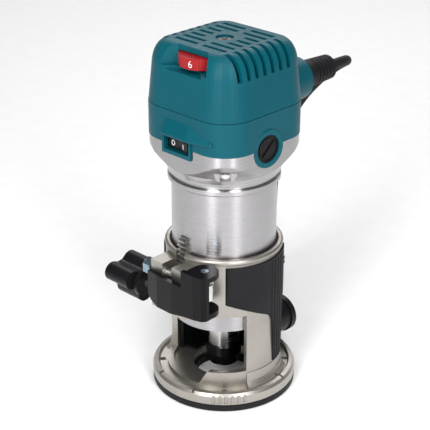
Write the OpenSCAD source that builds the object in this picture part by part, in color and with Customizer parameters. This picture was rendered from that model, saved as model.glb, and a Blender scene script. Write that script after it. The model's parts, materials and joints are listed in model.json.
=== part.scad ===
// Trim router: a cylindrical motor unit clamped in a cast base with a cam lever,
// raised and lowered by a rack and pinion.
// The origin is the centre of the base plate's opening, on the plate's underside.
// -Y is the front, with the switch and the clamp. +Y is the back, with the cord and dust outlet.

/* [Motor unit] */
// Radius of the machined barrel that the base clamps
barrel_r = 32.5; // [32.5]
// Height of the barrel's lower end above the work
barrel_z = 50; // [46:1:56]
// Half width of the square head
head_half = 38; // [37:0.5:40]
// Radius of the head's vertical corners
head_corner = 20; // [18:1:22]
// Top of the head above the work
head_top = 229; // [225:1:232]

/* [Base] */
// Radius of the base flange and its plate
flange_r = 46; // [45:0.5:48]
// Thickness of the plastic base plate
plate_t = 4.5; // [3:0.5:5]
// Radius of the opening in the base plate
opening_r = 18; // [16:0.5:19]
// Outside radius of the clamp sleeve
sleeve_r = 36.5; // [36:0.25:37]
// Top of the clamp sleeve
sleeve_top = 101; // [98:1:103]

/* [Collet] */
// Radius of the router bit's shank
shank_r = 4; // [3:0.5:4]

/* [Cord] */
// Diameter of the power cord
cord_d = 7; // [6:0.5:8]

/* [Hidden] */
$fn = 64;
run_gap = 0.05;

// Base
flange_top = 11;
rim_top = 13;
rim_w = 3.5;
flange_hole_r = 20;
window_top = 62;
window_low = 13.2;
sill_top = 22.5;
post_az = 67;
back_az = 125;
slit_x = -2;
slit_w = 8;
ear_w = 10;
ear_y = -47.6;
ear_z = [64, 96];
bolt_y = -43.4;
bolt_z = 88;
bolt_r = 3;
pivot_x = 26;
pin_r = 2.5;
screw_xy = 28;

// Rack and pinion
module_mm = 1;
pinion_n = 10;
pitch_r = module_mm * pinion_n / 2;
pinion_z = 72;
pinion_y = -40;
pitch = PI * module_mm;
shaft_r = 2.5;

// Motor unit
collar_z = 142;
head_z = 147;
teal_z = 171;
seam_z = 191.5;
seam_gap = 0.3;
wall = 2.6;
brush_z = 170.5;
brush_cap_r = 8.6;
brush_ring_r = 11.6;
brush_turn = -4.5;
spindle_r = 6;
nose_r = 10;
nut_z = 11.5;
nose_z = 22;

// Switch and dial
switch_x = [-12, 8.4];
switch_z = [167.2, 175.4];
tab_x = [-13.8, 10];
tab_z = 164.8;
hood_points = [
    [-10.5, 3, 178.4], [9, 3, 178.4], [-12.6, -1, 177.6], [25, -1, 178.4], [18, 0.6, 178.4],
    [-10, -1, 186], [8, -1, 185]
];
dial_xy = [2, -20];
dial_r = 14;
dial_z = [218, 224.6];
bowl_y = -27;

// Cord: the boss is a cone about an axis along Y, and the route is in the row frame
boss_z = 188.3;
boss_r = [17.3, 13.4];
boss_y = 66;
guard_z = 188.5;
guard_end = 96;
route = [
    [0, 96, 188.5], [0, 104, 188.5], [-1, 113, 187.8], [-5, 121, 185.5], [-12, 127, 181.5],
    [-20.5, 130.5, 176], [-29.5, 131.5, 169], [-38, 131, 160.5], [-45.5, 129, 151], [-52, 126.5, 140],
    [-57, 124, 128], [-60.5, 122, 115.5], [-63, 120.5, 102.5], [-64.5, 119.5, 89.5], [-65.5, 119, 76.5],
    [-66, 119, 63.5], [-67, 119.5, 50.5], [-69, 121.5, 38], [-73, 125.5, 26.5], [-79, 132, 16.5],
    [-87, 140.5, 9], [-96, 150, 5], [-105, 159.5, 3.8], [-114, 169, 3.6]
];
hank_angle = 134;
hank_near = 62;
hank_run = 105;
hank_in = 17.4;
hank_out = 31.8;
hank_h = 14.4;

// Outline shared by the head's parts, d outside its nominal size
module head_outline(d = 0) {
    s = head_half - head_corner;
    square([2 * s, 2 * (head_half + d)], center = true);
    square([2 * (head_half + d), 2 * s], center = true);
    for (x = [-s, s], y = [-s, s])
        translate([x, y]) circle(head_corner + d);
}

// A bar round the Z axis from azimuth a to b, measured from -Y towards +X
module sector(r0, r1, z0, z1, a, b) {
    rotate([0, 0, a - 90]) rotate_extrude(angle = b - a, $fn = 128)
        translate([r0, z0]) square([r1 - r0, z1 - z0]);
}

module at_azimuth(a) {
    rotate([0, 0, a]) children();
}

module rod_x(r, x0, x1, y, z) {
    translate([x0, y, z]) rotate([0, 90, 0]) cylinder(r = r, h = x1 - x0);
}

module rod_y(r, y0, y1, x, z, r1 = undef) {
    translate([x, y0, z]) rotate([-90, 0, 0]) cylinder(r1 = r, r2 = is_undef(r1) ? r : r1, h = y1 - y0);
}

module hex_x(r, x0, x1, y, z) {
    translate([x0, y, z]) rotate([0, 90, 0]) cylinder(r = r, h = x1 - x0, $fn = 6);
}

// ---------------------------------------------------------------- base

module flange_ring() {
    rotate_extrude($fn = 128) polygon([
        [flange_hole_r, plate_t], [flange_r - 0.6, plate_t], [flange_r, plate_t + 0.6],
        [flange_r, rim_top - 2.5], [flange_r - 1.2, rim_top - 0.6], [flange_r - rim_w, rim_top],
        [flange_r - rim_w - 1.2, flange_top], [flange_hole_r, flange_top]
    ]);
}

module ear(x0) {
    translate([x0, ear_y, ear_z[0]]) cube([ear_w, -ear_y - 30, ear_z[1] - ear_z[0]]);
}

module base_casting() {
    color("#b9b6ae") difference() {
        union() {
            flange_ring();
            difference() {
                translate([0, 0, flange_top - 1]) cylinder(r = sleeve_r, h = sleeve_top - flange_top - 1, $fn = 128);
                sector(20, 60, sill_top, window_top, -post_az, post_az);
                // Only the right-hand side keeps the sill, which falls away in front of the bit
                intersection() {
                    sector(20, 60, window_low, window_top - 5, -post_az, 40);
                    translate([0, -40, 0]) rotate([90, 0, 0]) linear_extrude(80, center = true) polygon([
                        [-60, 5], [7.5, 5], [21, 30], [-60, 30]
                    ]);
                }
                sector(20, 60, window_low, window_top, back_az, 360 - back_az);
            }
            // Rolled rim of the sleeve
            rotate_extrude($fn = 128) translate([sleeve_r - 1.5, sleeve_top - 2.1]) circle(2.1, $fn = 32);
            // Feet that widen the posts where they meet the flange
            for (s = [-1, 1])
                rotate([0, 0, s * 96 - 29 - 90]) rotate_extrude(angle = 58, $fn = 128) polygon([
                    [34, flange_top - 1], [40.6, flange_top - 1], [40.6, flange_top + 1],
                    [39, flange_top + 2], [37.8, flange_top + 4.5], [36.9, flange_top + 10], [34, flange_top + 10]
                ]);
            ear(slit_x + slit_w / 2);
            ear(slit_x - slit_w / 2 - ear_w);
        }
        // Bore for the motor, down to the flange
        translate([0, 0, flange_top]) cylinder(r = barrel_r + run_gap, h = sleeve_top, $fn = 128);
        translate([0, 0, sleeve_top - 3]) cylinder(r1 = barrel_r + run_gap, r2 = barrel_r + 1.6, h = 3.1, $fn = 128);
        cylinder(r = flange_hole_r, h = 60);
        // Room for the hose spigot over the flange
        rod_y(duct_r + 0.4, 30, 60, 0, duct_z);
        // The slit that lets the sleeve close
        translate([slit_x - slit_w / 2, -60, window_top - 2]) cube([slit_w, 40, 60]);
        rod_x(bolt_r + 0.2, -30, 30, bolt_y, bolt_z);
        rod_x(shaft_r + run_gap, -30, 30, pinion_y, pinion_z);
        // Seats for the rubber grips
        for (s = [-1, 1]) grip_shape(s, sleeve_r - 1.4, 60);
        // Notches and finger serrations in the rim
        for (a = [-20, 19, 101, 180, 259])
            at_azimuth(a) translate([-0.9, -flange_r - 1, flange_top]) cube([1.8, 8, 8]);
        for (a = [36:5:61])
            at_azimuth(a) translate([0, -flange_r - 0.7, plate_t + 1.4]) cylinder(r = 1.3, h = 10);
        for (x = [-1, 1], y = [-1, 1])
            translate([x * screw_xy, y * screw_xy, 0]) cylinder(r = 2, h = 30);
        // Hole for the screw that holds the dust nozzle
        rod_y(nozzle_screw_r + run_gap, 30, 45, 0, nozzle_screw_z);
    }
}

// Rubber grip on one side, seen from the side: a band that slopes down to a tail at the back
module grip_shape(s, r0, r1) {
    intersection() {
        difference() {
            translate([0, 0, 10]) cylinder(r = r1, h = 100, $fn = 128);
            cylinder(r = r0, h = 120, $fn = 128);
        }
        translate([s > 0 ? 14 : -60, 0, 0]) rotate([90, 0, 90]) linear_extrude(46) polygon([
            [-25.6, 71], [2.2, 57.8], [5.4, 52], [7.4, 22], [18.4, 22], [19.4, 60], [25.6, 66], [25.6, 96],
            [-25.6, 96]
        ]);
    }
}

module grip(s) {
    color("#1d1e20") difference() {
        grip_shape(s, sleeve_r - 1.4, sleeve_r + 1.2);
        // Flutes for the fingers
        for (k = [0:4])
            at_azimuth(s * (96 + 5.4 * k)) translate([0, -sleeve_r - 2.2, 10]) cylinder(r = 1.6, h = 84.5);
    }
}

module grip_left() grip(-1);

module grip_right() grip(1);

module base_plate() {
    color("#18191b") difference() {
        rotate_extrude($fn = 128) polygon([
            [opening_r, 0], [flange_r - 0.8, 0], [flange_r, 0.8], [flange_r, plate_t], [opening_r, plate_t]
        ]);
        for (x = [-1, 1], y = [-1, 1])
            translate([x * screw_xy, y * screw_xy, -1]) {
                cylinder(r = 2, h = 10);
                translate([0, 0, 1]) cylinder(r1 = 3.9, r2 = 2, h = 1.9);
                cylinder(r = 3.9, h = 1);
            }
    }
}

module plate_screws() {
    color("#c4c6c8") for (x = [-1, 1], y = [-1, 1])
        translate([x * screw_xy, y * screw_xy, 0]) difference() {
            union() {
                translate([0, 0, 0.3]) cylinder(r1 = 3.4, r2 = 2, h = 1.6);
                translate([0, 0, 0.3]) cylinder(r = 2, h = 7.9);
            }
            translate([-0.5, -2.4, 0]) cube([1, 4.8, 1]);
            translate([-2.4, -0.5, 0]) cube([4.8, 1, 1]);
        }
}

module clamp_bolt() {
    color("#c9cbcc") union() {
        rod_x(bolt_r, -25, pivot_x - 5, bolt_y, bolt_z);
        difference() {
            translate([pivot_x, bolt_y, bolt_z - 5]) cylinder(r = 5.4, h = 10);
            translate([pivot_x, bolt_y, bolt_z - 6]) cylinder(r = pin_r, h = 12);
        }
    }
}

module clamp_nut() {
    color("#8fa3ad") difference() {
        hex_x(5.8, -22.6, -17.2, bolt_y, bolt_z);
        rod_x(bolt_r, -30, 0, bolt_y, bolt_z);
    }
}

module clamp_washer() {
    color("#8fa3ad") difference() {
        rod_x(5.6, -17.2, -16, bolt_y, bolt_z);
        rod_x(bolt_r, -30, 0, bolt_y, bolt_z);
    }
}

module lever_pin() {
    color("#c9cbcc") translate([pivot_x, bolt_y, lever_z[0] + 0.6]) cylinder(r = pin_r, h = lever_z[1] - lever_z[0] - 0.4);
}

// Clamp lever: a channel with two cam lugs round the pin and a tapering outer wall
lever_z = [73, 101];
lug_r = 8.4;
lug_t = 3.4;
module lever_plan() {
    polygon([
        [pivot_x + lug_r, bolt_y], [pivot_x + lug_r, -50.4], [pivot_x + 6, -52.6], [pivot_x, -53.4],
        [8, -53.6], [-6, -52.6], [-16, -50.6], [-16, -48], [-6, -49.6], [8, -50.6], [pivot_x - 8, -50.4],
        [pivot_x - 8.4, bolt_y - 5], [pivot_x - lug_r, bolt_y]
    ]);
}

module lever_wall_plan() {
    difference() {
        lever_plan();
        polygon([[pivot_x - 12, -30], [pivot_x - 8.4, -50.4], [pivot_x + 5.2, -50], [pivot_x + 5.4, -30]]);
        translate([pivot_x + 5.2, -48]) square([10, 20]);
    }
}

module clamp_lever() {
    color("#17171a") difference() {
        union() {
            intersection() {
                translate([0, 0, 60]) linear_extrude(50) lever_wall_plan();
                // Side view: full height at the pin, tapering to the finger tip
                translate([0, -30, 0]) rotate([90, 0, 0]) linear_extrude(40) polygon([
                    [pivot_x + 10, lever_z[0]], [pivot_x + 10, 99], [pivot_x - 6, 99.2], [pivot_x - 12, 96.4],
                    [4, 92], [-8, 90], [-16, 89], [-16, 73], [-13, 70], [-6, 68], [6, 68.6], [18, 71]
                ]);
            }
            for (z = [lever_z[0], lever_z[1] - lug_t]) translate([0, 0, z]) {
                linear_extrude(lug_t) lever_plan();
                translate([pivot_x, bolt_y, 0]) cylinder(r = lug_r, h = lug_t);
            }
        }
        translate([pivot_x, bolt_y, 60]) cylinder(r = pin_r + run_gap, h = 60);
        // The far half of the channel is open above its tapering wall
        translate([-40, -60, 90]) cube([pivot_x - 10 + 40, 40, 20]);
        translate([-40, -60, 60]) cube([pivot_x - 10 + 40, 9.2, 8]);
    }
}

// ---------------------------------------------------------------- height adjustment

module pinion_profile() {
    for (k = [0:pinion_n - 1]) rotate(k * 360 / pinion_n)
        polygon([
            [pitch_r - 1.35, -0.95], [pitch_r, -0.62], [pitch_r + 0.85, -0.26],
            [pitch_r + 0.85, 0.26], [pitch_r, 0.62], [pitch_r - 1.35, 0.95]
        ]);
    circle(pitch_r - 1.2);
}

module pinion_shaft() {
    color("#b5b8ba") union() {
        translate([slit_x - 3, pinion_y, pinion_z]) rotate([0, 90, 0]) rotate([0, 0, 90])
            linear_extrude(6) pinion_profile();
        rod_x(shaft_r, knob_x[1] - 13, slit_x + slit_w / 2 + ear_w + 1, pinion_y, pinion_z);
    }
}

knob_x = [-52, -28];
knob_turn = 20;
lobe_r = 6;
lobe_reach = 9;
module knob_profile() {
    circle(8);
    for (a = [0, 120, 240]) rotate(a) {
        translate([-lobe_reach, 0]) circle(lobe_r);
        translate([-lobe_reach, -lobe_r]) square([lobe_reach, 2 * lobe_r]);
    }
}

module height_knob() {
    color("#17171a") difference() {
        union() {
            translate([knob_x[0], pinion_y, pinion_z]) rotate([-knob_turn, 0, 0]) rotate([90, 0, 90])
                linear_extrude(knob_x[1] - knob_x[0] - 4) knob_profile();
            rod_x(7.5, knob_x[1] - 6, knob_x[1], pinion_y, pinion_z);
            rod_x(9.4, knob_x[1] - 3, knob_x[1], pinion_y, pinion_z);
        }
        rod_x(shaft_r, knob_x[1] - 13, 0, pinion_y, pinion_z);
    }
}

// ---------------------------------------------------------------- dust nozzle

duct_z = 23.6;
duct_r = 11.8;
duct_bore = 9.6;
duct_end = 57;
nozzle_screw_r = 2;
nozzle_screw_z = 68;
module dust_nozzle() {
    color("#19191b") union() {
        difference() {
            union() {
                // Wall that fills the rear window, and a scoop low inside the posts
                sector(28, 36.2, 13.5, 61.6, back_az + 1, 359 - back_az);
                sector(28, 32.3, 11.4, 31, 72, 288);
                // Hose spigot
                rod_y(duct_r, 25, duct_end, 0, duct_z);
                rod_y(duct_r + 1, duct_end - 4, duct_end, 0, duct_z);
                // Tab that the screw clamps against the sleeve
                sector(34, 40, 50, 60, 168, 192);
                sector(36.8, 40, 59, 76, 168, 192);
            }
            cylinder(r = 29.6, h = 100, $fn = 128);
            translate([0, 0, 31]) cylinder(r = 32.9, h = 60, $fn = 128);
            rod_y(duct_bore, 20, duct_end + 1, 0, duct_z);
            rod_y(nozzle_screw_r + run_gap, 30, 60, 0, nozzle_screw_z);
        }
        // Floor of the scoop, which leads chips over the flange
        sector(20.8, 30.4, 11.5, 13, 75, 285);
    }
}

module nozzle_screw() {
    color("#232427") difference() {
        union() {
            rod_y(nozzle_screw_r, 34.4, 42, 0, nozzle_screw_z);
            rod_y(3.4, 40.4, 42, 0, nozzle_screw_z);
            rod_y(7.5, 41.6, 50, 0, nozzle_screw_z);
        }
        for (k = [0:11])
            translate([0, 0, nozzle_screw_z]) rotate([0, k * 30, 0]) translate([8.1, 41, 0])
                rotate([-90, 0, 0]) cylinder(r = 1.2, h = 10);
    }
}

// ---------------------------------------------------------------- motor housing

module both_brushes() {
    for (a = [0, 180]) rotate([0, 0, brush_turn + a]) children();
}

module flare_profile() {
    polygon([
        [20, head_z - 3], [33.2, head_z - 3], [33.2, head_z + 0.6], [34.6, head_z + 1.4], [35, head_z + 3],
        [36.4, head_z + 6],
        [38.6, head_z + 9], [41, head_z + 12], [43.3, head_z + 15], [45, head_z + 18],
        [46, head_z + 21], [46.6, teal_z], [20, teal_z]
    ]);
}

corner_screw = 39.6;
module housing_inside() {
    difference() {
        translate([0, 0, barrel_z + 4]) cylinder(r = 29.6, h = 100, $fn = 128);
        // Seat of the lower bearing
        cylinder(r = 14.6, h = 59);
    }
    translate([0, 0, barrel_z - 1]) cylinder(r = 12, h = 12);
    difference() {
        intersection() {
            rotate_extrude($fn = 128) polygon([
                [0, head_z], [29.6, head_z], [33, head_z + 7], [40, head_z + 17], [43.4, teal_z + 1], [0, teal_z + 1]
            ]);
            translate([0, 0, head_z - 1]) linear_extrude(40) head_outline(-wall);
        }
        // Columns that take the corner screws
        for (a = [45:90:315]) at_azimuth(a) translate([0, -corner_screw, 140]) cylinder(r = 4.8, h = 60);
    }
}

module corner_pockets() {
    for (a = [45:90:315]) at_azimuth(a) {
        // Recess that narrows downwards, with a column left standing in it
        difference() {
            translate([0, -36.2, 0]) rotate([90, 0, 0]) linear_extrude(20) polygon([
                [-8, 160], [8, 160], [6.2, 155], [3.6, 150], [-3.6, 150], [-6.2, 155]
            ]);
            translate([0, -37, 140]) cylinder(r = 3.2, h = 17);
        }
        translate([0, -corner_screw, 150]) cylinder(r = 1.9, h = 40);
    }
}

module motor_housing() {
    color("#c3c4c5") difference() {
        union() {
            translate([0, 0, barrel_z]) cylinder(r = barrel_r, h = head_z - barrel_z, $fn = 128);
            // Collar that stops the motor on the sleeve's rim
            rotate_extrude($fn = 128) polygon([
                [20, collar_z], [34.0, collar_z], [34.7, collar_z + 0.7], [34.7, collar_z + 3.4],
                [34.1, collar_z + 4.1], [33.2, collar_z + 4.3], [33.2, head_z], [20, head_z]
            ]);
            intersection() {
                rotate_extrude($fn = 128) flare_profile();
                translate([0, 0, head_z - 4]) linear_extrude(teal_z - head_z + 4) head_outline(-0.3);
            }
        }
        housing_inside();
        corner_pockets();
        // Flat lens over the clamp
        at_azimuth(20) translate([-30, -55.9, head_z + 1.4]) cube([60, 20, 6]);
        // Room for the teal tabs of the brush housing
        both_brushes() rod_x(brush_ring_r + 0.1, 33.4, 60, 0, brush_z);
        translate([tab_x[0] - 0.1, -60, tab_z - 0.1]) cube([tab_x[1] - tab_x[0] + 0.2, 26, 20]);
        // Groove that holds the rack
        translate([slit_x - 3, -40, 58]) cube([6, 9.2, 52]);
    }
}

// Rack teeth stand out of the barrel, inside the sleeve's slit
rack_y = pinion_y + pitch_r;
module depth_rack() {
    color("#9a9c9e") difference() {
        translate([slit_x - 3, rack_y - 0.85, 58]) cube([6, -30.8 - rack_y + 0.85, 52]);
        // Gaps between teeth, one of them centred on the pinion's tooth at rest
        for (k = [-5:12])
            translate([slit_x - 4, rack_y, pinion_z + k * pitch]) rotate([0, 90, 0]) linear_extrude(8)
                polygon([[-1.35, -1.4], [-0.72, 1.5], [0.72, 1.5], [1.35, -1.4]]);
    }
}

module rating_label() {
    color("#e6e6e4") sector(barrel_r, barrel_r + 0.03, 51, 60, -62, -10.5);
}

module bearing_cover() {
    color("#17171a") difference() {
        translate([0, 0, barrel_z - 2.4]) cylinder(r = 26, h = 2.4);
        translate([0, 0, barrel_z - 4]) cylinder(r = nose_r + 0.5, h = 8);
        for (a = [60:120:300]) at_azimuth(a) translate([0, -20, barrel_z - 4]) cylinder(r = 1.5, h = 8);
    }
}

module cover_screws() {
    color("#c4c6c8") for (a = [60:120:300]) at_azimuth(a) translate([0, -20, 0]) difference() {
        union() {
            translate([0, 0, barrel_z - 4.2]) cylinder(r = 2.9, h = 1.8);
            translate([0, 0, barrel_z - 2.4]) cylinder(r = 1.5, h = 2.4);
        }
        translate([-0.4, -2, barrel_z - 5]) cube([0.8, 4, 1.6]);
    }
}

// ---------------------------------------------------------------- teal head

// One corner column of the cover: it leans in to the fillet, then rounds over to the top
fillet_z = 214;
fillet_r = 10.4;
module dome_corner(d) {
    rotate_extrude($fn = 48) polygon(concat(
        [[0, seam_z], [head_corner - 0.2 + d, seam_z]],
        [for (a = [0:10:90]) [
            head_corner - 2.6 + d - fillet_r * (1 - cos(a)),
            fillet_z + (head_top + d - fillet_z) * sin(a)
        ]],
        [[0, head_top + d]]
    ));
}

module dome(d) {
    s = head_half - head_corner;
    hull() for (x = [-s, s], y = [-s, s])
        translate([x, y, 0]) dome_corner(d);
}

module boss_cone(d = 0) {
    rod_y(boss_r[0] + d, 35.6, boss_y, 0, boss_z, boss_r[1] + d);
}

// Bowl in the front edge where a finger turns the dial, with a flat back wall
module dial_bowl() {
    intersection() {
        union() {
            translate([dial_xy[0] - 1, -43, dial_z[0] - 1.2]) cylinder(r = 20, h = 40);
            translate([dial_xy[0] - 1, -46, dial_z[0] - 3]) cylinder(r = 18, h = 40);
        }
        translate([-60, -60, 200]) cube([120, 60 + bowl_y, 60]);
    }
}

block_h = 4.2;
module dial_block() {
    intersection() {
        dome(-0.5);
        translate([dial_xy[0] - 21, -60, dial_z[0] - block_h]) cube([42, 60 - 20.6, 40]);
    }
}

module vents() {
    rows = [-20, -13.3, -6.7, 0, 6.7, 13.3, 20];
    for (y = rows) {
        // Top slots, clear of the centre boss
        for (s = [-1, 1]) {
            inner = abs(y) < 8 ? 9.5 : 2.2;
            translate([s > 0 ? inner : -20.5, y - 1.5, head_top - 10]) cube([20.5 - inner, 3, 20]);
        }
        // Slots that wrap over the side edges
        for (s = [-1, 1]) intersection() {
            translate([s > 0 ? 23.5 : -60, y - 5 - 1.5 + 1.7, 214.5]) cube([36.5, 3, 30]);
            translate([s * 20, 0, 200]) rotate([90, 0, 0]) cylinder(r = 40, h = 80, center = true);
        }
    }
}

module top_cover() {
    color("#1a6877") difference() {
        union() {
            difference() {
                dome(0);
                translate([0, 0, -0.01]) dome(-wall);
            }
            dial_block();
            translate([0, 0, head_top - 10.7]) cylinder(r = 5.6, h = 9.7);
        }
        translate([0, 0, seam_z - 1]) cube([200, 200, 2 * (1 + seam_gap)], center = true);
        dial_bowl();
        translate([dial_xy[0], dial_xy[1], dial_z[0] - 0.5]) cylinder(r = dial_r + 0.6, h = dial_z[1] - dial_z[0] + 1.1);
        vents();
        translate([0, 0, head_top - 12]) cylinder(r = 2, h = 20);
        translate([0, 0, head_top - 3.5]) cylinder(r = 5.4, h = 20);
        boss_cone(0.2);
        translate([dial_xy[0], dial_xy[1], 205]) cylinder(r = 3.4, h = 20);
    }
}

module top_screw() {
    color("#8d8781") difference() {
        union() {
            translate([0, 0, head_top - 3.5]) cylinder(r = 4.4, h = 2.2);
            translate([0, 0, head_top - 16]) cylinder(r = 2, h = 12.6);
        }
        translate([-0.6, -3, head_top - 2.4]) cube([1.2, 6, 3]);
        translate([-3, -0.6, head_top - 2.4]) cube([6, 1.2, 3]);
    }
}

module brush_housing() {
    color("#1a6877") difference() {
        union() {
            difference() {
                union() {
                    translate([0, 0, teal_z]) linear_extrude(seam_z - teal_z) head_outline(0);
                    // Rings round the brush caps
                    both_brushes() rod_x(brush_ring_r, 33.6, head_half + 0.8, 0, brush_z);
                    // Switch surround and the hood over it
                    translate([tab_x[0], -head_half - 0.8, tab_z]) cube([tab_x[1] - tab_x[0], 4, 12]);
                    hull() for (p = hood_points)
                        translate([p[0], -head_half - p[1], p[2]]) sphere(1.4, $fn = 20);
                    boss_cone();
                }
                translate([0, 0, teal_z - 1]) linear_extrude(40) head_outline(-wall);
            }
            // Columns for the corner screws
            for (a = [45:90:315]) at_azimuth(a) translate([0, -corner_screw, teal_z]) cylinder(r = 4.8, h = 8);
        }
        // Room inside the boss for the cord, and the guard's seat
        rod_y(11, 20, boss_y - 12, 0, guard_z);
        rod_y(9.2, 20, boss_y + 1, 0, guard_z);
        translate([switch_x[0], -60, switch_z[0]]) cube([switch_x[1] - switch_x[0], 40, switch_z[1] - switch_z[0]]);
        // Brush cap seats
        both_brushes() rod_x(brush_cap_r + 0.1, 30, 60, 0, brush_z);
        for (a = [45:90:315]) at_azimuth(a) translate([0, -corner_screw, 150]) cylinder(r = 1.9, h = 26);
    }
}

module housing_screws() {
    color("#c4c6c8") for (a = [45:90:315]) at_azimuth(a) translate([0, -corner_screw, 0]) difference() {
        union() {
            translate([0, 0, 157.6]) cylinder(r = 3.2, h = 2.2);
            translate([0, 0, 158.6]) cylinder(r = 1.9, h = 16);
        }
        translate([-0.5, -2.2, 157]) cube([1, 4.4, 1.7]);
        translate([-2.2, -0.5, 157]) cube([4.4, 1, 1.7]);
    }
}

// ---------------------------------------------------------------- brushes

module brush_caps() {
    color("#141416") both_brushes() difference() {
        union() {
            rod_x(brush_cap_r, 34.4, 38, 0, brush_z);
            rod_x(6, 30.4, 34.6, 0, brush_z);
        }
        translate([37.2, 0, brush_z]) rotate([45, 0, 0]) translate([0, -6.2, -0.9]) cube([2, 12.4, 1.8]);
        difference() {
            rod_x(7.5, 37.4, 39, 0, brush_z);
            rod_x(6.6, 37, 40, 0, brush_z);
        }
        rod_x(4.6, 30, 33, 0, brush_z);
    }
}

module mirrored_pair() {
    children();
    mirror([1, 0, 0]) children();
}

module brush_holders() {
    color("#b08d57") both_brushes() difference() {
        translate([12.6, -5.2, brush_z - 6]) cube([16.8, 10.4, 12]);
        translate([10, -3.2, brush_z - 4]) cube([22, 6.4, 8]);
    }
}

module carbon_brushes() {
    color("#3a3a3c") both_brushes()
        translate([12.1, -3.1, brush_z - 3.9]) cube([9, 6.2, 7.8]);
}

module brush_springs() {
    color("#c9cbcc") both_brushes() for (k = [0:3])
        translate([22.2 + 2 * k, 0, brush_z]) rotate([0, 90, 0]) rotate_extrude($fn = 32)
            translate([2.4, 0]) circle(0.5, $fn = 16);
}

// ---------------------------------------------------------------- motor

module field_core() {
    color("#6f6d6a") translate([0, 0, 80]) difference() {
        cylinder(r = 29.5, h = 44, $fn = 96);
        cylinder(r = 18, h = 100, center = true);
        for (s = [-1, 1]) translate([s * 21 - 4, -15, -1]) cube([8, 30, 50]);
    }
}

module field_coils() {
    color("#9c5a2c") mirrored_pair() difference() {
        translate([17.4, -14.4, 74]) cube([7.2, 28.8, 56]);
        translate([0, 0, 60]) cylinder(r = 17.8, h = 90);
        translate([16, -6, 79]) cube([10, 12, 46]);
    }
}

module bearing(r0, r1, z0, z1) {
    difference() {
        translate([0, 0, z0]) cylinder(r = r1, h = z1 - z0);
        translate([0, 0, z0 - 1]) cylinder(r = r0, h = z1 - z0 + 2);
        for (z = [z0 - 0.1, z1 - 0.5]) translate([0, 0, z]) difference() {
            cylinder(r = r1 - 1.6, h = 0.6);
            translate([0, 0, -1]) cylinder(r = r0 + 1.6, h = 3);
        }
    }
}

module lower_bearing() {
    color("#a9abad") bearing(spindle_r + 0.03, 12, 52, 58.8);
}

module upper_bearing() {
    color("#a9abad") bearing(4.03, 11, 203, 210);
}

// Carries the upper bearing and the brush holders, and takes the top cover's screw
module bearing_bracket() {
    color("#2b2c2f") difference() {
        union() {
            translate([0, 0, 180.6]) intersection() {
                linear_extrude(3) head_outline(-wall);
                translate([-40, -22, 0]) cube([80, 44, 3]);
            }
            translate([0, 0, 180.6]) cylinder(r = 13.6, h = 217.2 - 180.6);
            both_brushes() translate([12.6, -5.2, brush_z + 6]) cube([12, 10.4, 4.4]);
        }
        translate([0, 0, 203]) cylinder(r = 11, h = 8.6);
        translate([0, 0, 170]) cylinder(r = 12.6, h = 31);
        translate([0, 0, 200.9]) cylinder(r = 10, h = 3);
        translate([0, 0, 205]) cylinder(r = 2, h = 20);
        for (s = [-1, 1], y = [-13, 13]) translate([s * 23, y, 178]) cylinder(r = 6, h = 6);
    }
}

module air_baffle() {
    color("#27282a") difference() {
        translate([0, 0, 66.6]) cylinder(r = 29.6, h = 3);
        cylinder(r = 19, h = 100);
    }
}

module spindle() {
    color("#c2c4c6") difference() {
        union() {
            translate([0, 0, nose_z]) cylinder(r = nose_r, h = barrel_z - nose_z + 1.8);
            translate([0, 0, barrel_z]) cylinder(r = spindle_r, h = 94);
            translate([0, 0, barrel_z + 90]) cylinder(r = 4, h = 211 - barrel_z - 90);
        }
        translate([0, 0, nose_z - 1]) cylinder(r = 6.5, h = 20);
        // Wrench flats above the nut
        for (s = [-1, 1]) translate([s * 12.6 - 4, -12, 37]) cube([8, 24, 6]);
    }
}

module armature_core() {
    color("#77736d") difference() {
        translate([0, 0, 81]) cylinder(r = 17, h = 42);
        cylinder(r = spindle_r, h = 200);
        for (k = [0:11]) rotate(k * 30) translate([13, -1, 80]) cube([6, 2, 50]);
    }
}

module commutator() {
    color("#b87333") difference() {
        translate([0, 0, 163]) cylinder(r = 12, h = 15);
        cylinder(r = 4, h = 300);
        for (k = [0:23]) rotate(k * 15) translate([10.8, -0.2, 162]) cube([2, 0.4, 20]);
    }
}

module fan() {
    color("#3c3f42") difference() {
        union() {
            translate([0, 0, 60]) cylinder(r = 26.5, h = 1.4);
            translate([0, 0, 60]) cylinder(r = 10, h = 6);
            for (k = [0:11]) rotate(k * 30) translate([9, -0.7, 60]) cube([17, 1.4, 5.6]);
        }
        cylinder(r = spindle_r, h = 200);
    }
}

module collet() {
    color("#8e9092") difference() {
        union() {
            translate([0, 0, 17]) cylinder(r = 6.5, h = 22);
            translate([0, 0, 13]) cylinder(r1 = 5.2, r2 = 6.5, h = 4);
        }
        cylinder(r = shank_r, h = 60);
        for (k = [0:2]) rotate(k * 120) translate([0, -0.35, 12]) cube([8, 0.7, 18]);
    }
}

module collet_nut() {
    color("#1b1b1d") difference() {
        union() {
            translate([0, 0, nut_z + 7.4]) cylinder(r = 11.4, h = nose_z + 3 - nut_z - 7.4);
            intersection() {
                translate([0, 0, nut_z]) cylinder(r = 11.4, h = 9, $fn = 6);
                translate([0, 0, nut_z]) cylinder(r1 = 9.6, r2 = 16, h = 8);
            }
        }
        cylinder(r = 5.4, h = 13.1);
        translate([0, 0, 13.05]) cylinder(r1 = 5.3, r2 = 6.55, h = 3.95);
        translate([0, 0, 16.9]) cylinder(r = 6.6, h = 20);
        translate([0, 0, nose_z]) cylinder(r = nose_r, h = 20);
    }
}

// ---------------------------------------------------------------- controls

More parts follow.
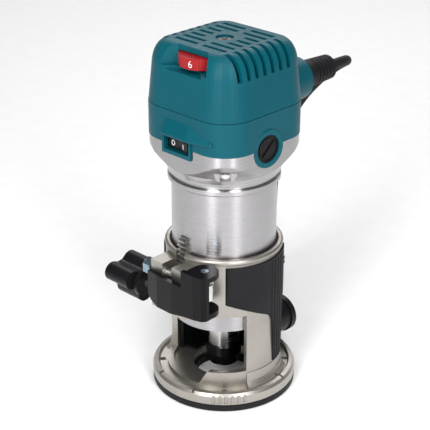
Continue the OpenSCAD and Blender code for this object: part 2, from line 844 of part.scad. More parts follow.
module speed_dial() {
    color("#b1252a") difference() {
        translate([dial_xy[0], dial_xy[1], dial_z[0]]) cylinder(r = dial_r, h = dial_z[1] - dial_z[0]);
        for (k = [0:59]) translate([dial_xy[0], dial_xy[1], 0]) rotate(k * 6)
            translate([dial_r + 0.12, 0, 200]) cylinder(r = 0.42, h = 60, $fn = 16);
        translate([dial_xy[0], dial_xy[1], 200]) cylinder(r = 3.05, h = 60);
    }
}

module speed_board() {
    color("#2f5a3c") union() {
        translate([-16, -31, 206]) cube([32, 16.8, 1.8]);
        translate([dial_xy[0], dial_xy[1] - 1, 206]) cylinder(r = 5, h = dial_z[0] - block_h - 206);
        translate([dial_xy[0], dial_xy[1], 206]) cylinder(r = 3, h = dial_z[1] - 0.6 - 206);
    }
}

rocker_pivot = [-1.8, -34.9];
module switch_body() {
    color("#202124") difference() {
        translate([switch_x[0] + 0.2, -head_half + wall + 0.1, switch_z[0] + 0.2])
            cube([switch_x[1] - switch_x[0] - 0.4, 15, switch_z[1] - switch_z[0] - 0.4]);
        translate([switch_x[0] + 1.2, -40, switch_z[0] + 1])
            cube([switch_x[1] - switch_x[0] - 2.4, 12, switch_z[1] - switch_z[0] - 2]);
        translate([rocker_pivot[0], rocker_pivot[1] + 1.4, 160]) cylinder(r = 0.95, h = 30);
    }
}

module switch_rocker() {
    color("#141416") translate([rocker_pivot[0], rocker_pivot[1] + 1.4, 0]) rotate([0, 0, -6]) union() {
        translate([0, 0, switch_z[0] + 1.3]) linear_extrude(switch_z[1] - switch_z[0] - 2.6)
            polygon([[-8.6, -3.4], [0, -2.6], [8.6, -3.4], [8.2, -0.8], [2, 2.2], [-2, 2.2], [-8.2, -0.8]]);
        translate([0, 0, switch_z[0] + 0.6]) cylinder(r = 0.9, h = switch_z[1] - switch_z[0] - 1.2);
    }
}

// ---------------------------------------------------------------- cord

module cord_clamp() {
    color("#2b2c2f") difference() {
        translate([-9, 40.5, guard_z - 6]) cube([18, 8, 12]);
        rod_y(cord_d / 2, 30, 60, 0, guard_z);
    }
}

module cord_guard() {
    color("#17171a") difference() {
        union() {
            rod_y(10.8, 50, boss_y - 12.1, 0, guard_z);
            rod_y(9.1, 52, guard_end - 7, 0, guard_z);
            rod_y(9.1, guard_end - 7, guard_end, 0, guard_z, 6.2);
        }
        rod_y(cord_d / 2, 30, 120, 0, guard_z);
    }
}

function unit(v) = v / norm(v);
function tangent(k) = unit(route[min(k + 1, len(route) - 1)] - route[max(k - 1, 0)]);
function ring(k, r, n) = let (t = tangent(k), a = unit(cross(t, [0.3, 0.2, 0.9])), b = cross(t, a))
    [for (i = [0:n - 1]) route[k] + r * (cos(360 * i / n) * a + sin(360 * i / n) * b)];

module cord_run() {
    n = 8;
    m = len(route);
    points = [for (k = [0:m - 1]) each ring(k, cord_d / 2, n)];
    sides = [for (k = [0:m - 2], i = [0:n - 1])
        [k * n + i, k * n + (i + 1) % n, (k + 1) * n + (i + 1) % n, (k + 1) * n + i]];
    ends = [[for (i = [n - 1:-1:0]) i], [for (i = [0:n - 1]) (m - 1) * n + i]];
    color("#1a1a1c") polyhedron(points, concat(sides, ends));
}

// Hank: the stored length, as the solid outline of its turns
module hank_outline(r) {
    translate([hank_out, 0]) circle(r);
    translate([hank_out + hank_run, 0]) circle(r);
    translate([hank_out, -r]) square([hank_run, 2 * r]);
}

module on_hank() {
    rotate([0, 0, hank_angle]) translate([hank_near, 0, 0]) children();
}

tie_x = 44;
module cord_hank() {
    color("#1a1a1c") on_hank() difference() {
        linear_extrude(hank_h) hank_outline(hank_out);
        translate([0, 0, -1]) linear_extrude(hank_h + 2) hank_outline(hank_in);
    }
}

// Strap round one side of the hank
module cord_tie() {
    color("#2a2a2c") on_hank() difference() {
        translate([tie_x, -hank_out - 1, 0]) cube([8, hank_out - hank_in + 2, hank_h + 1]);
        translate([tie_x - 1, -hank_out, -1]) cube([10, hank_out - hank_in, hank_h + 1]);
    }
}

plug_x = 34;
plug_y = 24.6;
module plug_body() {
    color("#17171a") on_hank() translate([plug_x, plug_y, hank_h]) union() {
        translate([0, -9, 0]) cube([30, 18, 14]);
        translate([30, 0, 7]) rotate([0, 90, 0]) cylinder(r1 = 6.5, r2 = 4.5, h = 18);
    }
}

module plug_pins() {
    color("#c9c6bd") on_hank() for (y = [-5.8, 5.8])
        translate([plug_x, plug_y + y, hank_h + 7]) rotate([0, -90, 0]) cylinder(r = 2, h = 19);
}

base_casting();
base_plate();
plate_screws();
grip_left();
grip_right();
clamp_bolt();
clamp_nut();
clamp_washer();
lever_pin();
clamp_lever();
pinion_shaft();
height_knob();
dust_nozzle();
nozzle_screw();
motor_housing();
depth_rack();
rating_label();
bearing_cover();
cover_screws();
brush_housing();
top_cover();
top_screw();
housing_screws();
brush_caps();
carbon_brushes();
brush_holders();
brush_springs();
field_core();
field_coils();
lower_bearing();
upper_bearing();
bearing_bracket();
air_baffle();
spindle();
armature_core();
commutator();
fan();
collet();
collet_nut();
speed_dial();
speed_board();
switch_body();
switch_rocker();
cord_clamp();
cord_guard();
cord_run();
cord_hank();
cord_tie();
plug_body();
plug_pins();
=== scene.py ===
"""Looks of a trim router built around its CAD frame. All lengths are in metres."""
import json
import math

import bmesh
import bpy
import numpy as np
from mathutils import Matrix, Vector


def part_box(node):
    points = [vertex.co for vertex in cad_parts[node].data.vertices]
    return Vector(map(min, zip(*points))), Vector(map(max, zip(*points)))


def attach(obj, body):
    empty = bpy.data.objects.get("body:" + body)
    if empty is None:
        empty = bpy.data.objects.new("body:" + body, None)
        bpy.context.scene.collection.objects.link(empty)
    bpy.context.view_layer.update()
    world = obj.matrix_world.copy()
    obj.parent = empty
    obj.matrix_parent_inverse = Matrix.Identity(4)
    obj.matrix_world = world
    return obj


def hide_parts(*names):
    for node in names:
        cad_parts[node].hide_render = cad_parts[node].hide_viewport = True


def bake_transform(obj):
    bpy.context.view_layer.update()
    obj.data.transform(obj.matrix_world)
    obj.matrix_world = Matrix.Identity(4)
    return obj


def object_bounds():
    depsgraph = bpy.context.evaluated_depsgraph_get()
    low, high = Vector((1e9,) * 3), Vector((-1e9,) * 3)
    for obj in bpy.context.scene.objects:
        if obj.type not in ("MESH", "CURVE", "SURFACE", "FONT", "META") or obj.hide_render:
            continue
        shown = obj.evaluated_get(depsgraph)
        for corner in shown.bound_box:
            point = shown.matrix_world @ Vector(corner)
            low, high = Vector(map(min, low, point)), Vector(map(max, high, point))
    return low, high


MM = 0.001

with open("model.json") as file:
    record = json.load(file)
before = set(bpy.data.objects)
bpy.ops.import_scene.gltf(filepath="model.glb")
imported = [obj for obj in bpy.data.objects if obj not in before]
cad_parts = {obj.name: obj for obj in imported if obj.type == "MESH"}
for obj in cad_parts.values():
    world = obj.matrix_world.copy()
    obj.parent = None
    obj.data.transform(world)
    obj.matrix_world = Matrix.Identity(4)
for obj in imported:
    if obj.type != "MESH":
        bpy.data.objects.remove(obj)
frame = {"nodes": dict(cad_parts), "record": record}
cad_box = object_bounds()


# ------------------------------------------------------------------ camera

CAMERA_AZIMUTH = 44.0
CAMERA_PITCH = 25.04
CAMERA_YAW = 0.46
CAMERA_DISTANCE = 706.97 * MM
CAMERA_HEIGHT = 444.86 * MM
LENS_MM = 105.3


def make_camera():
    data = bpy.data.cameras.new("camera")
    data.lens = LENS_MM
    data.sensor_width = 36.0
    data.clip_start = 0.02
    camera = bpy.data.objects.new("camera", data)
    bpy.context.scene.collection.objects.link(camera)
    turn = math.radians(CAMERA_AZIMUTH)
    camera.location = (
        CAMERA_DISTANCE * math.sin(turn),
        -CAMERA_DISTANCE * math.cos(turn),
        CAMERA_HEIGHT,
    )
    camera.rotation_euler = (
        math.radians(90 - CAMERA_PITCH),
        0,
        math.radians(CAMERA_AZIMUTH + CAMERA_YAW),
    )
    bpy.context.scene.camera = camera


make_camera()


# ------------------------------------------------------------------ materials


class Graph:
    """Short names for the nodes of one material, with its shader as .shader."""

    def __init__(self, name):
        self.material = bpy.data.materials.new(name)
        self.material.use_nodes = True
        self.nodes = self.material.node_tree.nodes
        self.links = self.material.node_tree.links
        self.shader = self.nodes["Principled BSDF"]
        self.place = self.add("ShaderNodeTexCoord").outputs["Object"]

    def add(self, kind, **settings):
        node = self.nodes.new(kind)
        for key, value in settings.items():
            setattr(node, key, value)
        return node

    def join(self, source, target):
        self.links.new(source, target)

    def value(self, target, source):
        if hasattr(source, "is_output"):
            self.join(source, target)
        else:
            target.default_value = source

    def scaled(self, scale):
        node = self.add("ShaderNodeMapping")
        node.inputs["Scale"].default_value = scale
        self.join(self.place, node.inputs["Vector"])
        return node.outputs[0]

    def noise(self, scale, detail=3.0, rough=0.55, stretch=(1, 1, 1)):
        node = self.add("ShaderNodeTexNoise")
        node.inputs["Scale"].default_value = scale
        node.inputs["Detail"].default_value = detail
        node.inputs["Roughness"].default_value = rough
        self.join(self.scaled(stretch), node.inputs["Vector"])
        return node.outputs["Fac"]

    def voronoi(self, scale):
        node = self.add("ShaderNodeTexVoronoi")
        node.inputs["Scale"].default_value = scale
        self.join(self.place, node.inputs["Vector"])
        return node.outputs["Distance"]

    def ramp(self, source, low, high, at=(0.35, 0.65)):
        node = self.add("ShaderNodeMapRange")
        node.inputs["From Min"].default_value = at[0]
        node.inputs["From Max"].default_value = at[1]
        node.inputs["To Min"].default_value = low
        node.inputs["To Max"].default_value = high
        self.join(source, node.inputs["Value"])
        return node.outputs["Result"]

    def math(self, operation, a, b=0.0):
        node = self.add("ShaderNodeMath", operation=operation)
        self.value(node.inputs[0], a)
        self.value(node.inputs[1], b)
        return node.outputs[0]

    def mix(self, factor, a, b):
        node = self.add("ShaderNodeMix", data_type="RGBA")
        self.value(node.inputs["Factor"], factor)
        for target, colour in ((node.inputs["A"], a), (node.inputs["B"], b)):
            if hasattr(colour, "is_output"):
                self.join(colour, target)
            else:
                target.default_value = (*colour, 1)
        return node.outputs["Result"]

    def bump(self, *layers):
        """Each layer is (height, strength, distance)."""
        normal = None
        for height, strength, distance in layers:
            node = self.add("ShaderNodeBump")
            node.inputs["Strength"].default_value = strength
            node.inputs["Distance"].default_value = distance
            self.join(height, node.inputs["Height"])
            if normal is not None:
                self.join(normal, node.inputs["Normal"])
            normal = node.outputs["Normal"]
        self.join(normal, self.shader.inputs["Normal"])

    def base(self, colour):
        self.value(self.shader.inputs["Base Color"], colour)

    def rough(self, value):
        self.value(self.shader.inputs["Roughness"], value)

    def set(self, **values):
        for key, value in values.items():
            self.shader.inputs[key.replace("_", " ")].default_value = value


def plastic(name, dark, light, rough=0.42, grain=2600, relief=0.25, coat=0.0, shine=0.3):
    g = Graph(name)
    broad = g.noise(22, 4)
    fine = g.noise(grain, 2)
    scuff = g.noise(260, 5, 0.7, (1, 1, 2.4))
    g.base(g.mix(g.ramp(broad, 0, 1), dark, light))
    g.rough(g.math("ADD", g.ramp(scuff, rough - 0.06, rough + 0.08), g.ramp(fine, -0.03, 0.03)))
    g.bump((fine, relief, 0.00004), (broad, 0.06, 0.0006))
    g.set(IOR=1.47, Specular_IOR_Level=shine, Coat_Weight=coat, Coat_Roughness=0.12)
    return g.material


def rubber(name, dark, light):
    g = Graph(name)
    broad = g.noise(40, 4)
    fine = g.noise(3200, 2)
    dust = g.noise(700, 6, 0.75)
    base = g.mix(g.ramp(broad, 0, 1), dark, light)
    g.base(g.mix(g.ramp(dust, 0, 0.08, (0.62, 0.82)), base, (0.06, 0.06, 0.06)))
    g.rough(g.ramp(dust, 0.50, 0.68))
    g.bump((fine, 0.35, 0.00005), (broad, 0.05, 0.0004))
    g.set(IOR=1.5, Specular_IOR_Level=0.2)
    return g.material


def turned_metal(name, colour, rough=0.2, lines=5200, anisotropic=0.6, axis="Z", wear=0.9):
    """Bright metal with the fine rings of a lathe round one axis."""
    g = Graph(name)
    stretch = {"Z": (6, 6, 1000), "X": (1000, 6, 6), "Y": (6, 1000, 6)}[axis]
    rings = g.noise(lines / 1000, 4, 0.7, stretch)
    streak = g.noise(3, 5, 0.6, {"Z": (10, 10, 60), "X": (60, 10, 10), "Y": (10, 60, 10)}[axis])
    darker = tuple(wear * c for c in colour)
    g.base(g.mix(g.ramp(streak, 0, 1), darker, colour))
    g.rough(g.ramp(rings, rough - 0.05, rough + 0.07))
    g.bump((rings, 0.10, 0.00003))
    g.set(Metallic=1.0, Anisotropic=anisotropic, Anisotropic_Rotation=0.25)
    tangent = g.add("ShaderNodeTangent", direction_type="RADIAL", axis=axis)
    g.join(tangent.outputs[0], g.shader.inputs["Tangent"])
    return g.material


def cast_metal(name, dark, light, rough=0.36, grain=1500):
    """Sand-textured, satin casting."""
    g = Graph(name)
    broad = g.noise(30, 4)
    fine = g.noise(grain, 3)
    pits = g.voronoi(1900)
    base = g.mix(g.ramp(broad, 0, 1), dark, light)
    g.base(g.mix(g.ramp(fine, 0, 0.22), base, tuple(0.8 * c for c in dark)))
    g.rough(g.ramp(fine, rough - 0.07, rough + 0.10))
    g.bump((pits, 0.10, 0.00006), (fine, 0.30, 0.00005), (broad, 0.05, 0.0005))
    g.set(Metallic=0.92)
    return g.material


def steel(name, colour, rough=0.28, grain=900):
    g = Graph(name)
    broad = g.noise(60, 4)
    fine = g.noise(grain, 4, 0.7)
    g.base(g.mix(g.ramp(broad, 0, 1), tuple(0.82 * c for c in colour), colour))
    g.rough(g.ramp(fine, rough - 0.07, rough + 0.10))
    g.bump((fine, 0.14, 0.00004))
    g.set(Metallic=1.0)
    return g.material


def laminated(name, colour):
    """A stack of thin sheets along Z."""
    g = Graph(name)
    sheets = g.noise(2.4, 1, 0.4, (0.5, 0.5, 700))
    broad = g.noise(70, 3)
    g.base(g.mix(g.ramp(sheets, 0, 1), tuple(0.6 * c for c in colour), colour))
    g.rough(g.ramp(broad, 0.38, 0.55))
    g.bump((sheets, 0.5, 0.0001))
    g.set(Metallic=0.85)
    return g.material


def wound_wire(name, colour):
    g = Graph(name)
    wires = g.noise(3.0, 1, 0.4, (700, 0.6, 0.6))
    broad = g.noise(90, 3)
    g.base(g.mix(g.ramp(wires, 0, 1), tuple(0.45 * c for c in colour), colour))
    g.rough(g.ramp(broad, 0.24, 0.4))
    g.bump((wires, 0.7, 0.0002))
    g.set(Metallic=0.6, Coat_Weight=0.6, Coat_Roughness=0.2)
    return g.material


def circuit_board(name):
    g = Graph(name)
    traces = g.voronoi(420)
    fine = g.noise(1500, 2)
    g.base(g.mix(g.ramp(traces, 0, 1, (0.2, 0.24)), (0.03, 0.16, 0.07), (0.015, 0.09, 0.035)))
    g.rough(g.ramp(fine, 0.3, 0.45))
    g.bump((traces, 0.2, 0.0001))
    g.set(Coat_Weight=0.3, Coat_Roughness=0.2)
    return g.material


def printed_label(name):
    """White foil with a red block at its left end and rows of grey bars."""
    g = Graph(name)
    split = g.add("ShaderNodeSeparateXYZ")
    g.join(g.place, split.inputs[0])
    x, z = split.outputs["X"], split.outputs["Z"]
    red = g.math("LESS_THAN", x, -0.0225)
    row = g.math("GREATER_THAN", g.math("SINE", g.math("MULTIPLY", z, 2900.0)), 0.25)
    words = g.math("GREATER_THAN", g.noise(3, 1, 0.4, (260, 1, 1)), 0.46)
    inside = g.math("MULTIPLY", g.math("GREATER_THAN", z, 0.0522), g.math("LESS_THAN", z, 0.0588))
    bars = g.math("MULTIPLY", g.math("MULTIPLY", row, words), inside)
    paper = g.mix(bars, (0.82, 0.82, 0.80), (0.16, 0.16, 0.17))
    g.base(g.mix(red, paper, (0.62, 0.03, 0.03)))
    fine = g.noise(1800, 2)
    g.rough(g.ramp(fine, 0.3, 0.42))
    g.bump((fine, 0.08, 0.00003))
    return g.material


def painted_mark(name, colour):
    g = Graph(name)
    fine = g.noise(2400, 3)
    g.base(g.mix(g.ramp(fine, 0, 1), tuple(0.88 * c for c in colour), colour))
    g.rough(g.ramp(fine, 0.35, 0.5))
    g.bump((fine, 0.1, 0.00003))
    return g.material


def floor_material():
    g = Graph("floor_paper")
    fine = g.noise(60, 3)
    g.base(g.mix(g.ramp(fine, 0, 1), (0.93, 0.93, 0.93), (0.95, 0.95, 0.95)))
    g.rough(0.75)
    return g.material


TEAL_DARK = (0.0008, 0.068, 0.093)
TEAL_LIGHT = (0.0012, 0.078, 0.104)
MATERIALS = {
    "cast_base": cast_metal("cast_base", (0.36, 0.34, 0.31), (0.43, 0.405, 0.37), 0.36),
    "base_plate": plastic("base_plate", (0.006, 0.006, 0.007), (0.010, 0.010, 0.011), 0.5, 1800, shine=0.2),
    "screw_steel": steel("screw_steel", (0.70, 0.70, 0.70)),
    "grip_rubber": rubber("grip_rubber", (0.006, 0.006, 0.008), (0.010, 0.010, 0.012)),
    "zinc_steel": steel("zinc_steel", (0.30, 0.40, 0.48), 0.24, 600),
    "lever_plastic": plastic(
        "lever_plastic", (0.003, 0.003, 0.004), (0.005, 0.005, 0.006), 0.15, 900, 0.10, shine=0.14
    ),
    "black_plastic": plastic("black_plastic", (0.004, 0.004, 0.005), (0.008, 0.008, 0.009), 0.34, shine=0.17),
    "gear_steel": steel("gear_steel", (0.46, 0.45, 0.43), 0.34, 700),
    "motor_housing": turned_metal("motor_housing", (0.42, 0.41, 0.42), 0.24, anisotropic=0.9, wear=0.97),
    "label": printed_label("label"),
    "teal_plastic": plastic("teal_plastic", TEAL_DARK, TEAL_LIGHT, 0.38, 3000, 0.3, shine=0.16),
    "top_screw": steel("top_screw", (0.24, 0.21, 0.19), 0.42),
    "carbon": plastic("carbon", (0.02, 0.02, 0.02), (0.05, 0.05, 0.05), 0.6, 1200),
    "copper_alloy": turned_metal("copper_alloy", (0.78, 0.48, 0.22), 0.3),
    "spring_steel": steel("spring_steel", (0.7, 0.7, 0.7), 0.25),
    "laminations": laminated("laminations", (0.34, 0.33, 0.32)),
    "windings": wound_wire("windings", (0.60, 0.25, 0.08)),
    "bright_steel": turned_metal("bright_steel", (0.66, 0.65, 0.64), 0.22),
    "fan_plastic": plastic("fan_plastic", (0.02, 0.022, 0.025), (0.035, 0.037, 0.04)),
    "collet_steel": turned_metal("collet_steel", (0.34, 0.34, 0.35), 0.3),
    "black_steel": turned_metal("black_steel", (0.030, 0.030, 0.033), 0.36, 4000, 0.3),
    "dial_red": plastic("dial_red", (0.24, 0.005, 0.008), (0.31, 0.008, 0.010), 0.36, 1600),
    "circuit_board": circuit_board("circuit_board"),
    "switch_plastic": plastic(
        "switch_plastic", (0.004, 0.004, 0.005), (0.007, 0.007, 0.008), 0.28, shine=0.24
    ),
    "cord_sheath": rubber("cord_sheath", (0.007, 0.007, 0.008), (0.012, 0.012, 0.013)),
    "strap": rubber("strap", (0.02, 0.02, 0.022), (0.03, 0.03, 0.033)),
    "plug_pins": turned_metal("plug_pins", (0.72, 0.66, 0.48), 0.26, axis="X"),
}
WHITE_PRINT = painted_mark("white_print", (0.85, 0.85, 0.84))


# ------------------------------------------------------------------ CAD pieces


def bevel(obj, width, angle=35, segments=2):
    modifier = obj.modifiers.new("edges", "BEVEL")
    modifier.width = width
    modifier.limit_method = "ANGLE"
    modifier.angle_limit = math.radians(angle)
    modifier.segments = segments
    modifier.harden_normals = True
    modifier.use_clamp_overlap = True


SOFT_EDGES = {
    "height_knob": 0.0012,
    "clamp_lever": 0.0009,
    "plug_body": 0.0022,
    "nozzle_screw": 0.0005,
    "dust_nozzle": 0.0006,
    "clamp_nut": 0.0004,
    "collet_nut": 0.0004,
    "clamp_bolt": 0.0006,
}


def dress_cad():
    """Give every CAD node its slot's material, and round the edges of the moulded ones."""
    for part in frame["record"]["subparts"]:
        obj = frame["nodes"][part["node"]]
        material = MATERIALS[part["material_slot"]]
        obj.data.materials.clear()
        obj.data.materials.append(material)
        if part["node"] in SOFT_EDGES:
            bevel(obj, SOFT_EDGES[part["node"]])


# ------------------------------------------------------------------ mesh helpers


def new_object(name, mesh, body, material):
    obj = bpy.data.objects.new(name, mesh)
    bpy.context.scene.collection.objects.link(obj)
    obj.data.materials.append(material)
    if body is not None:
        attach(obj, body)
    return obj


def smooth(mesh, angle=35):
    for polygon in mesh.polygons:
        polygon.use_smooth = True
    mesh.set_sharp_from_angle(angle=math.radians(angle))


def lathe(name, profile, at, along, segments=64):
    """Turn (distance along, radius) points round an axis through at."""
    bm = bmesh.new()
    along = Vector(along)
    side = along.orthogonal().normalized()
    other = along.cross(side)
    rings = []
    for step, radius in profile:
        ring = []
        for k in range(segments):
            a = 2 * math.pi * k / segments
            ring.append(
                bm.verts.new(
                    Vector(at) + along * step + (side * math.cos(a) + other * math.sin(a)) * radius
                )
            )
        rings.append(ring)
    for a, b in zip(rings, rings[1:]):
        for k in range(segments):
            bm.faces.new((a[k], a[(k + 1) % segments], b[(k + 1) % segments], b[k]))
    if profile[0] != profile[-1]:
        bm.faces.new(list(reversed(rings[0])))
        bm.faces.new(rings[-1])
    bmesh.ops.recalc_face_normals(bm, faces=bm.faces)
    mesh = bpy.data.meshes.new(name)
    bm.to_mesh(mesh)
    bm.free()
    smooth(mesh)
    return mesh


def tube_mesh(name, points, radius, sides=12):
    """A closed tube along points, with rings that don't twist."""
    bm = bmesh.new()
    pts = [Vector(p) for p in points]
    side = None
    rings = []
    for i, p in enumerate(pts):
        ahead = (pts[min(i + 1, len(pts) - 1)] - pts[max(i - 1, 0)]).normalized()
        if side is None:
            side = ahead.orthogonal().normalized()
        side = (side - ahead * side.dot(ahead)).normalized()
        other = ahead.cross(side)
        ring = []
        for k in range(sides):
            a = 2 * math.pi * k / sides
            ring.append(bm.verts.new(p + (side * math.cos(a) + other * math.sin(a)) * radius))
        rings.append(ring)
    for a, b in zip(rings, rings[1:]):
        for k in range(sides):
            bm.faces.new((a[k], a[(k + 1) % sides], b[(k + 1) % sides], b[k]))
    bm.faces.new(list(reversed(rings[0])))
    bm.faces.new(rings[-1])
    bmesh.ops.recalc_face_normals(bm, faces=bm.faces)
    mesh = bpy.data.meshes.new(name)
    bm.to_mesh(mesh)
    bm.free()
    smooth(mesh, 60)
    return mesh


def resample(points, spacing):
    """Even points on a smooth curve through the given ones."""
    pts = [np.array(p, float) for p in points]
    pts = [2 * pts[0] - pts[1]] + pts + [2 * pts[-1] - pts[-2]]
    dense = []
    for i in range(1, len(pts) - 2):
        a, b, c, d = pts[i - 1 : i + 3]
        for t in np.linspace(0, 1, 16, endpoint=False):
            dense.append(
                0.5
                * (
                    2 * b
                    + (c - a) * t
                    + (2 * a - 5 * b + 4 * c - d) * t * t
                    + (3 * b - a - 3 * c + d) * t**3
                )
            )
    dense.append(pts[-2])
    dense = np.array(dense)
    run = np.concatenate([[0], np.cumsum(np.linalg.norm(np.diff(dense, axis=0), axis=1))])
    count = max(2, int(round(run[-1] / spacing)) + 1)
    even = np.linspace(0, run[-1], count)
    return np.stack([np.interp(even, run, dense[:, k]) for k in range(3)], axis=1)


# ------------------------------------------------------------------ cord

CORD_D = 7 * MM
PITCH = 7.2 * MM
ROUTE_MM = [
    (0, 96, 188.5), (0, 104, 188.5), (-1, 113, 187.8), (-5, 121, 185.5), (-12, 127, 181.5),
    (-20.5, 130.5, 176), (-29.5, 131.5, 169), (-38, 131, 160.5), (-45.5, 129, 151), (-52, 126.5, 140),
    (-57, 124, 128), (-60.5, 122, 115.5), (-63, 120.5, 102.5), (-64.5, 119.5, 89.5), (-65.5, 119, 76.5),
    (-66, 119, 63.5), (-67, 119.5, 50.5), (-69, 121.5, 38), (-73, 125.5, 26.5), (-79, 132, 16.5),
    (-87, 140.5, 9), (-96, 150, 5), (-105, 159.5, 3.8), (-114, 169, 3.6),
]
HANK_ANGLE = math.radians(134)
HANK_NEAR = 62 * MM
HANK_RUN = 105 * MM
HANK_OUT = 31.8 * MM
HANK_TOP = 14.4 * MM
OUTER = 28.2 * MM
INNER = 21 * MM
LOW = 3.6 * MM
HIGH = LOW + PITCH
FOLD_STEPS = 8
PLUG_Y = 24.6 * MM
PLUG_TAIL_X = 82 * MM
PLUG_AXIS_Z = HANK_TOP + 7 * MM


def hank_point(along, across, height):
    """A point in the hank's own frame, along it from its near end."""
    u = HANK_NEAR + along
    c, s = math.cos(HANK_ANGLE), math.sin(HANK_ANGLE)
    return (u * c - across * s, u * s + across * c, height)


def hank_turns():
    """Four turns from the end of the route to the plug: out on the floor, in, up, and out on top."""
    near, far = HANK_OUT, HANK_OUT + HANK_RUN
    points = []
    # (radius, height) at the start of each half turn, the far fold first
    stations = [
        (OUTER + PITCH, LOW), (OUTER, LOW), (OUTER, LOW), (INNER, LOW), (INNER, LOW),
        (INNER, HIGH), (INNER, HIGH), (OUTER, HIGH), (OUTER, HIGH),
    ]
    for k in range(len(stations) - 1):
        (r0, z0), (r1, z1) = stations[k], stations[k + 1]
        at_far = k % 2 == 0
        for i in range(FOLD_STEPS + 1):
            t = i / FOLD_STEPS
            # Each change of column or layer is made over the fold
            r = r0 + (r1 - r0) * t
            z = z0 + (z1 - z0) * t
            a = math.pi * t
            if at_far:
                points.append(hank_point(far + r * math.sin(a), -r * math.cos(a), z))
            else:
                points.append(hank_point(near - r * math.sin(a), r * math.cos(a), z))
        for t in (0.25, 0.5, 0.75):
            if k < len(stations) - 2:
                side = 1 if at_far else -1
                x = far - HANK_RUN * t if at_far else near + HANK_RUN * t
                points.append(hank_point(x, side * r1, z1))
    # Last far fold, rising onto the top and into the plug
    r0, z0 = stations[-1]
    rise = PLUG_AXIS_Z - HIGH
    points.append(hank_point(near + HANK_RUN * 0.25, -r0, z0))
    points.append(hank_point(near + HANK_RUN * 0.5, -r0, z0))
    points.append(hank_point(near + HANK_RUN * 0.75, -r0, z0 + rise * 0.25))
    for i in range(FOLD_STEPS + 1):
        t = i / FOLD_STEPS
        a = math.pi * t
        r = r0 + (PLUG_Y - r0) * t
        points.append(hank_point(far + r * math.sin(a), -r * math.cos(a), z0 + rise * (0.55 + 0.45 * t)))
    points.append(hank_point(far - 18 * MM, PLUG_Y, PLUG_AXIS_Z))
    points.append(hank_point(PLUG_TAIL_X + 18 * MM, PLUG_Y, PLUG_AXIS_Z))
    points.append(hank_point(PLUG_TAIL_X, PLUG_Y, PLUG_AXIS_Z))
    return points


def make_cord():
    route = [tuple(v * MM for v in p) for p in ROUTE_MM]
    path = resample(route + hank_turns()[1:], 2.4 * MM)
    mesh = tube_mesh("power_cord", path, CORD_D / 2)
    cord = new_object("power_cord", mesh, None, MATERIALS["cord_sheath"])
    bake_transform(cord)
    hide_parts("cord_run", "cord_hank")


make_cord()
dress_cad()


# ------------------------------------------------------------------ cord guard

GUARD_Z = 188.5 * MM
GUARD_START = 60 * MM
GUARD_END = 96 * MM
GUARD_BORE = 3.55 * MM


def make_guard():
    """Strain relief: a smooth collar, then ribs that get thinner towards the cord."""
    profile = [(0, GUARD_BORE), (0, 9.0 * MM), (0.0140, 9.0 * MM), (0.0145, 8.8 * MM)]
    y = 0.0155
    radius = 8.9 * MM
    while y < GUARD_END - GUARD_START - 0.0032:
        profile += [(y, radius), (y + 0.0024, radius - 0.0001), (y + 0.0026, radius - 0.0007)]
        profile += [(y + 0.0032, radius - 0.0008)]
        y += 0.0034
        radius -= 0.00016
    end = GUARD_END - GUARD_START
    profile += [(end - 0.0020, radius), (end - 0.0006, radius - 0.0008), (end, radius - 0.0022)]
    profile += [(end, GUARD_BORE), profile[0]]
    mesh = lathe("strain_relief", profile, (0, GUARD_START, GUARD_Z), (0, 1, 0))
    guard = new_object("strain_relief", mesh, "motor", MATERIALS["grip_rubber"])
    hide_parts("cord_guard")


make_guard()


# ------------------------------------------------------------------ printed marks

def ribbon(name, points, width, normal, body, closed=False):
    """A raised painted stroke along points that lie on a face with that normal."""
    bm = bmesh.new()
    n = Vector(normal).normalized()
    pts = [Vector(p) for p in points]
    count = len(pts)
    rows = []
    for i, p in enumerate(pts):
        before = pts[(i - 1) % count] if closed or i > 0 else p
        after = pts[(i + 1) % count] if closed or i < count - 1 else p
        ahead = (after - before).normalized()
        side = n.cross(ahead).normalized() * width / 2
        rows.append([bm.verts.new(p + s * side + n * h) for s, h in ((-1, 0), (-1, 1e-4), (1, 1e-4), (1, 0))])
    pairs = list(zip(rows, rows[1:])) + ([(rows[-1], rows[0])] if closed else [])
    for a, b in pairs:
        for k in range(4):
            bm.faces.new((a[k], a[(k + 1) % 4], b[(k + 1) % 4], b[k]))
    if not closed:
        bm.faces.new(rows[0])
        bm.faces.new(list(reversed(rows[-1])))
    bmesh.ops.recalc_face_normals(bm, faces=bm.faces)
    mesh = bpy.data.meshes.new(name)
    bm.to_mesh(mesh)
    bm.free()
    return new_object(name, mesh, body, WHITE_PRINT)


def arc(centre, right, up, radius, start, end, steps=20):
    return [
        Vector(centre)
        + Vector(right) * radius[0] * math.cos(math.radians(start + (end - start) * i / steps))
        + Vector(up) * radius[1] * math.sin(math.radians(start + (end - start) * i / steps))
        for i in range(steps + 1)
    ]


ROCKER_TILT = math.radians(-6)


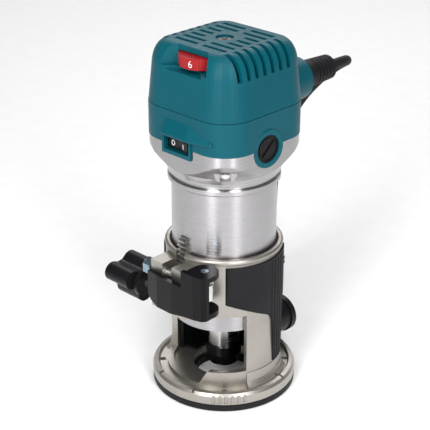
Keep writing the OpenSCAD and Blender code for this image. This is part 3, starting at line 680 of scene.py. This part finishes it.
def make_switch_marks():
    """O and I on the two halves of the rocker."""
    low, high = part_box("switch_rocker")
    z = (low[2] + high[2]) / 2
    pivot = Vector((-1.8 * MM, -33.5 * MM, z))
    turn = Matrix.Rotation(ROCKER_TILT, 3, "Z")
    slope = 0.8 / 8.6
    for sign, shape in ((-1, "o"), (1, "i")):
        x = sign * 4.6 * MM
        depth = -2.6 * MM - abs(x) * slope - 0.00004
        centre = pivot + turn @ Vector((x, depth, 0))
        right = turn @ Vector((1, -sign * slope, 0)).normalized()
        normal = turn @ Vector((-sign * slope, -1, 0)).normalized()
        if shape == "o":
            points = arc(centre, right, (0, 0, 1), (1.15 * MM, 1.5 * MM), 0, 342, 18)
            ribbon("switch_mark_off", points, 0.5 * MM, normal, "rocker", closed=True)
        else:
            points = [centre + Vector((0, 0, h * MM)) for h in (-1.6, 1.6)]
            ribbon("switch_mark_on", points, 0.5 * MM, normal, "rocker")


def make_dial_number():
    """The number 6 on the rim of the dial."""
    low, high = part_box("speed_dial")
    centre = Vector(((low[0] + high[0]) / 2, (low[1] + high[1]) / 2, (low[2] + high[2]) / 2))
    radius = (high[0] - low[0]) / 2
    a = math.radians(14)
    normal = Vector((math.sin(a), -math.cos(a), 0))
    right = Vector((math.cos(a), math.sin(a), 0))
    at = centre + normal * (radius + 0.00005)
    up = Vector((0, 0, 1))
    loop = arc(at - up * 0.8 * MM, right, up, (0.95 * MM, 0.95 * MM), 0, 342, 18)
    ribbon("dial_digit_loop", loop, 0.42 * MM, normal, "dial", closed=True)
    tail = arc(at + right * 0.75 * MM - up * 0.7 * MM, right, up, (1.7 * MM, 2.7 * MM), 180, 100, 10)
    ribbon("dial_digit_tail", tail, 0.42 * MM, normal, "dial")


make_switch_marks()
make_dial_number()


# ------------------------------------------------------------------ stage


def make_stage():
    size = 3.0
    depth = 1.6
    bend = 0.8
    height = 3.0
    bm = bmesh.new()
    # A floor that curves up into a backdrop away from the camera
    turn = math.radians(CAMERA_AZIMUTH)
    away = Vector((-math.sin(turn), math.cos(turn), 0))
    side = Vector((math.cos(turn), math.sin(turn), 0))
    profile = [(-3.0, 0.0), (depth, 0.0)]
    for step in range(1, 10):
        t = math.radians(10 * step)
        profile.append((depth + bend * math.sin(t), bend - bend * math.cos(t)))
    profile.append((depth + bend, height))
    rows = [
        [bm.verts.new(away * d + side * s + Vector((0, 0, h))) for s in (-size, size)]
        for d, h in profile
    ]
    for a, b in zip(rows, rows[1:]):
        bm.faces.new((a[0], a[1], b[1], b[0]))
    bmesh.ops.recalc_face_normals(bm, faces=bm.faces)
    mesh = bpy.data.meshes.new("floor")
    bm.to_mesh(mesh)
    bm.free()
    for polygon in mesh.polygons:
        polygon.use_smooth = True
    floor = bpy.data.objects.new("floor", mesh)
    bpy.context.scene.collection.objects.link(floor)
    floor.data.materials.append(floor_material())
    floor.location = (0, 0, cad_box[0][2] - 0.0001)


def area_light(name, azimuth, elevation, distance, size, power, colour=(1, 1, 1)):
    """A soft box at that azimuth from -Y towards +X, aimed at the middle of the router."""
    data = bpy.data.lights.new(name, "AREA")
    data.shape = "RECTANGLE"
    data.size, data.size_y = size
    data.energy = power
    data.color = colour
    light = bpy.data.objects.new(name, data)
    bpy.context.scene.collection.objects.link(light)
    a, e = math.radians(azimuth), math.radians(elevation)
    target = Vector((0, 0, 0.11))
    offset = Vector((math.sin(a) * math.cos(e), -math.cos(a) * math.cos(e), math.sin(e)))
    light.location = target + offset * distance
    light.rotation_euler = offset.to_track_quat("Z", "Y").to_euler()


def make_lights():
    world = bpy.data.worlds.new("world")
    bpy.context.scene.world = world
    world.use_nodes = True
    world.node_tree.nodes["Background"].inputs["Color"].default_value = (1, 1, 1, 1)
    world.node_tree.nodes["Background"].inputs["Strength"].default_value = 0.21
    area_light("key_left", 19, 30, 1.2, (0.34, 1.3), 14)
    area_light("key_right", 70, 30, 1.2, (0.30, 1.3), 11)
    area_light("top", 44, 80, 1.4, (1.2, 1.2), 5)
    area_light("back", 215, 40, 1.5, (1.4, 0.8), 8)


make_stage()
make_lights()

bpy.context.scene.view_settings.view_transform = "Standard"
